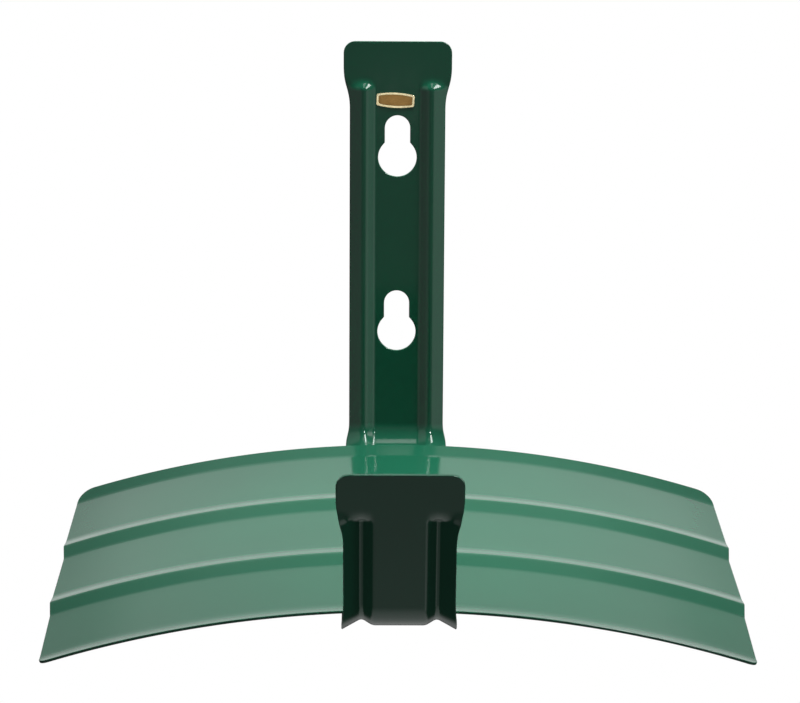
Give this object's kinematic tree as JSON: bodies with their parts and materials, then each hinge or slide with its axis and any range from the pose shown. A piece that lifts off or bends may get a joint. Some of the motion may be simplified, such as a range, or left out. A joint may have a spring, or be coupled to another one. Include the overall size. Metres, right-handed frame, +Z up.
{
  "type": "hose hanger",
  "caption": "Wall hose hanger: a ribbed steel strip with keyholes bends forward into a hook, and an arched saddle with shallow troughs lies on its arm.",
  "frame": {"origin": "on the wall plane, midway between the entry holes of the two keyholes", "axes": "+X to the right seen from the front, +Y into the wall, +Z up along the wall strip"},
  "size_m": [0.2666, 0.1927, 0.2164],
  "materials": {
    "green_coat": "gloss powder coat",
    "gold_foil": "printed foil"
  },
  "bodies": {
    "root": {"bracket": "green_coat", "saddle": "green_coat", "foil_label": "gold_foil"}
  },
  "joints": []
}
